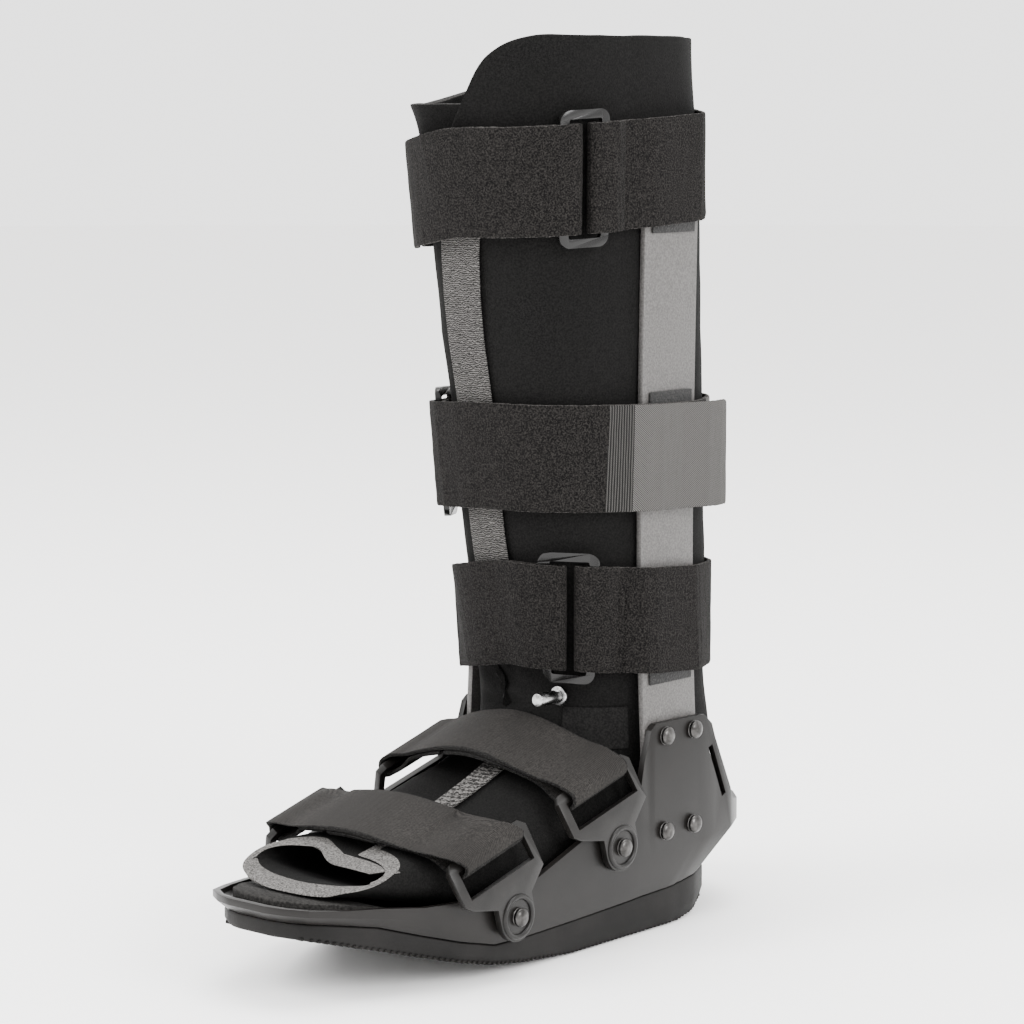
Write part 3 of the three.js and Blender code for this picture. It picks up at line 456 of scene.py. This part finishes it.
# Strap rings: flat black plastic loops with rounded corners, each sewn into its strap's short tab.
black_plastic, tree, skin = finish_of("black_moulded_plastic", (0.008, 0.0076, 0.0073), 0.36)
paint(tree, skin, mottle(tree, 0.01), (0.004, 0.0036, 0.0033), (0.0076, 0.0069, 0.0064))
gloss(skin, 0.24)
emboss(tree, skin, mottle(tree, 0.0006, 2), 0.0001, 0.3)
ring_plastic, tree, skin = finish_of("black_ring_plastic", (0.003, 0.0029, 0.0028), 0.22)
paint(tree, skin, mottle(tree, 0.01), (0.002, 0.0019, 0.0019), (0.0045, 0.0043, 0.0042))
gloss(skin, 0.3)
emboss(tree, skin, mottle(tree, 0.0006, 2), 0.00006, 0.3)
for level in ("top", "middle", "lower"):
    ring = cut_from(f"ring_{level}", f"strap_ring_{level}")
    round_edges(ring, 0.0007, 2, 45)
    soft_shading(ring, 40)
    fit(ring, ring_plastic, "black_plastic", f"ring_{level}")


# Leg straps: broad bands of black pile cloth on a knitted back. Each runs round the leg and bars, through
# its ring and back over itself; the middle one ends in a woven grey hook tab sewn on in columns.
def dense_pile(name, dark, light):
    """Short standing pile: fine speckle of lit tips over deep gaps."""
    finish, tree, skin = finish_of(name, light, 0.95)
    fine = mottle(tree, 0.0007, 5)
    paint(tree, skin, fine, dark, light, 0.4, 0.68)
    gloss(skin, CLOTH_GLOSS)
    emboss(tree, skin, fine, 0.0009, 0.8)
    emboss(tree, skin, mottle(tree, 0.009, 2), 0.0008, 0.3)
    return finish


CORNER_ANGLE = 50
CORNER_CREASE = 0.85


def rule_creases(piece):
    """Marks a band's corner edges so that smoothing keeps them."""
    only(piece)
    bpy.ops.object.mode_set(mode="EDIT")
    bpy.ops.mesh.select_all(action="DESELECT")
    bpy.ops.mesh.edges_select_sharp(sharpness=math.radians(CORNER_ANGLE))
    bpy.ops.transform.edge_crease(value=CORNER_CREASE)
    bpy.ops.object.mode_set(mode="OBJECT")


def blend(tree, share, first, second):
    """Mixes two tones by a share of the second."""
    mix = tree.nodes.new("ShaderNodeMix")
    mix.data_type = "RGBA"
    tree.links.new(share, mix.inputs["Factor"])
    tree.links.new(first, mix.inputs["A"])
    tree.links.new(second, mix.inputs["B"])
    return mix.outputs["Result"]


pile = dense_pile("black_strap_pile", (0.0009, 0.0008, 0.0008), (0.018, 0.0165, 0.0154))
# Lighter copy of the pile for the straps' edges: painted sheen on their fuzz.
pile_edge = dense_pile("strap_edge_sheen", (0.006, 0.0056, 0.0053), (0.07, 0.0655, 0.062))

HOOK_TAB_FROM_Y = 0.0303
HOOK_STITCH_TO_Y = 0.042
COVER_REACH = 0.03
hook_weave, tree, skin = finish_of("grey_hook_weave", (0.07, 0.068, 0.065), 0.8)
ridges = bands(tree, "DIAGONAL", 640, place_in(tree, (0, 1, 1)))
ridges.inputs["Distortion"].default_value = 0.5
weave_tone = shade_between(tree, ridges.outputs["Fac"],
                           (0.016, 0.0155, 0.015), (0.10, 0.0965, 0.0925), 0.2, 0.8)
columns = bands(tree, "Y", 270, place_in(tree))
stitch_tone = shade_between(tree, columns.outputs["Fac"],
                            (0.004, 0.0039, 0.0038), (0.05, 0.048, 0.046), 0.3, 0.9)
place_axes = tree.nodes.new("ShaderNodeSeparateXYZ")
tree.links.new(place_in(tree), place_axes.inputs["Vector"])
past_stitches = tree.nodes.new("ShaderNodeMath")
past_stitches.operation = "GREATER_THAN"
past_stitches.inputs[1].default_value = HOOK_STITCH_TO_Y
tree.links.new(place_axes.outputs["Y"], past_stitches.inputs[0])
tab_tone = blend(tree, past_stitches.outputs["Value"], stitch_tone, weave_tone)
tree.links.new(tab_tone, skin.inputs["Base Color"])
gloss(skin, CLOTH_GLOSS)
emboss(tree, skin, ridges.outputs["Fac"], 0.0004, 0.7)
emboss(tree, skin, mottle(tree, 0.0008), 0.0003, 0.6)

fuzz = bpy.data.textures.new("pile_fuzz", "CLOUDS")
fuzz.noise_scale = 0.0022
for level in ("top", "middle", "lower"):
    strap = cut_from(f"strap_{level}", f"leg_strap_{level}")
    for finish in (pile, pile_edge, hook_weave):
        strap.data.materials.append(finish)
    rule_creases(strap)
    smooth_out(strap, 3)
    round_edges(strap, 0.0004, 2, 40)
    nap = strap.modifiers.new("nap", "DISPLACE")
    nap.texture = fuzz
    nap.texture_coords = "LOCAL"
    nap.strength = 0.0006
    nap.mid_level = 0.5
    apply_all(strap)
    for face in strap.data.polygons:
        place, facing = face.center, face.normal
        # Upper and lower edge faces take the lighter pile, a painted sheen on the fuzzy edges.
        if abs(facing.z) > 0.55:
            face.material_index = 1
        elif level == "middle" and place.y > HOOK_TAB_FROM_Y and place.x > 0 and facing.x > 0.5:
            off_face = place + facing * 0.0008
            covered, _, _, _ = strap.ray_cast(off_face, Vector((1, 0, 0)), distance=COVER_REACH)
            if not covered:
                face.material_index = 2
    soft_shading(strap, 60)
    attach(strap, "root")
    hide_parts(f"strap_{level}")


# Foot strap loops: stout black mouldings, each a rectangular eye on a neck whose round tab is riveted to
# the shell's wall, with a raised boss round the rivet.
BOSS_RADIUS = 0.0088
BOSS_HEIGHT = 0.0013
for where in ("instep", "forefoot"):
    for side in ("left", "right"):
        node = f"loop_{where}_{side}"
        loop = cut_from(node, f"strap_loop_{where}_{side}")
        rivet_low, rivet_high = (Vector(corner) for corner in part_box(f"loop_rivet_{where}_{side}"))
        spot = (rivet_low + rivet_high) / 2
        spot.x = rivet_low.x - 0.0004 if side == "left" else rivet_high.x + 0.0004
        bpy.ops.mesh.primitive_torus_add(
            major_radius=BOSS_RADIUS, minor_radius=BOSS_HEIGHT, major_segments=40, minor_segments=10,
            location=spot, rotation=(0, math.pi / 2, 0))
        boss = bpy.context.object
        only(boss)
        bpy.ops.object.transform_apply(location=True, rotation=True, scale=True)
        round_edges(loop, 0.00145, 3, 50)
        loop = join_all([loop, boss], loop.name)
        soft_shading(loop, 40)
        fit(loop, black_plastic, "black_plastic", node)


# Foot straps: dark grey ribbed webbing over the instep and the forefoot, turned back under itself
# through the loops. Fine cords run along it, and its face is worn to a speckle in places.
CORDS_SCALE = 330
WEB_ARCH = 1.8
WEB_ENDS = 0.93
WEB_CROWN = 0.1


def mark_across(piece):
    """Stores on each vertex how far it lies across the band, from the band's own middle line."""
    places = [vertex.co for vertex in piece.data.vertices]
    reach = max(abs(place.x) for place in places)
    ends = [place.y for place in places if abs(place.x) > WEB_ENDS * reach]
    crown = [place.y for place in places if abs(place.x) < WEB_CROWN * reach]
    end_y = (min(ends) + max(ends)) / 2
    crown_y = (min(crown) + max(crown)) / 2
    across = piece.data.attributes.new("across", "FLOAT", "POINT")
    for index, place in enumerate(places):
        rise = 1 - (abs(place.x) / reach) ** WEB_ARCH
        across.data[index].value = place.y - end_y - (crown_y - end_y) * rise * rise * (3 - 2 * rise)


webbing, tree, skin = finish_of("grey_ribbed_webbing", (0.024, 0.023, 0.022), 0.8)
band_place = tree.nodes.new("ShaderNodeAttribute")
band_place.attribute_name = "across"
side_place = tree.nodes.new("ShaderNodeCombineXYZ")
tree.links.new(band_place.outputs["Fac"], side_place.inputs["X"])
cords = bands(tree, "X", CORDS_SCALE, side_place.outputs["Vector"])
speckle = mottle(tree, 0.0009, 4)
cord_tone = shade_between(tree, cords.outputs["Fac"],
                          (0.0055, 0.005, 0.0047), (0.02, 0.0184, 0.0172), 0.2, 0.85)
speckle_tone = shade_between(tree, speckle, (0.0055, 0.005, 0.0047), (0.036, 0.0332, 0.031), 0.35, 0.7)
worn = shade_between(tree, mottle(tree, 0.03, 2), (0.1, 0.1, 0.1), (0.6, 0.6, 0.6))
tree.links.new(blend(tree, worn, cord_tone, speckle_tone), skin.inputs["Base Color"])
gloss(skin, CLOTH_GLOSS)
emboss(tree, skin, cords.outputs["Fac"], 0.0003, 0.6)
emboss(tree, skin, speckle, 0.0003, 0.6)
web_edge = dense_pile("webbing_under_pile", (0.002, 0.0019, 0.0018), (0.02, 0.0192, 0.0185))
for where in ("instep", "forefoot"):
    web = cut_from(f"strap_{where}", f"foot_strap_{where}")
    mark_across(web)
    web.data.materials.append(webbing)
    web.data.materials.append(web_edge)
    for face in web.data.polygons:
        facing = face.normal
        if facing.y < -0.75 or facing.z < -0.4 or facing.y > 0.8:
            face.material_index = 1
    rule_creases(web)
    smooth_out(web, 3)
    round_edges(web, 0.0003, 1, 50)
    soft_shading(web, 60)
    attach(web, "root")
    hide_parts(f"strap_{where}")


# Inflation valve: a bright turned metal barrel on a round flange, standing out of the liner above the
# instep, beside a small patch of the liner's cloth that is sewn on flat.
PANEL_CORNERS = ((0.0225, 0.084), (0.0435, 0.1035))
panel_cloth, tree, skin = finish_of("valve_panel_cloth", (0.008, 0.0077, 0.0074), 0.9)
paint(tree, skin, mottle(tree, 0.0009, 4), (0.002, 0.0019, 0.0019), (0.0085, 0.0082, 0.0079))
gloss(skin, CLOTH_GLOSS)
emboss(tree, skin, mottle(tree, 0.0008), 0.0004, 0.7)
(left_x, low_z), (right_x, high_z) = PANEL_CORNERS
bpy.ops.mesh.primitive_grid_add(x_subdivisions=24, y_subdivisions=24, size=1)
panel = bpy.context.object
panel.name = "valve_panel"
for vertex in panel.data.vertices:
    x = left_x + (vertex.co.x + 0.5) * (right_x - left_x)
    z = low_z + (vertex.co.y + 0.5) * (high_z - low_z)
    hit, spot, normal, _ = liner.ray_cast(Vector((x, -0.06, z)), Vector((0, 1, 0)))
    vertex.co = spot + normal * 0.0006 if hit else Vector((x, 0.03, z))
thick = panel.modifiers.new("thick", "SOLIDIFY")
thick.thickness = 0.0009
thick.offset = 1
apply_all(panel)
round_edges(panel, 0.0003, 2, 50)
soft_shading(panel, 50)
panel.data.materials.append(panel_cloth)
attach(panel, "root")

valve_metal, tree, skin = finish_of("bright_valve_metal", (0.35, 0.35, 0.35), 0.22)
skin.inputs["Metallic"].default_value = 1.0
paint(tree, skin, mottle(tree, 0.002), (0.24, 0.24, 0.24), (0.42, 0.42, 0.42))
for node, name in (("valve_flange", "valve_collar"), ("valve_barrel", "valve_stem")):
    turned = cut_from(node, name)
    round_edges(turned, 0.0004, 2, 40)
    soft_shading(turned, 35)
    fit(turned, valve_metal, "valve_metal", node)
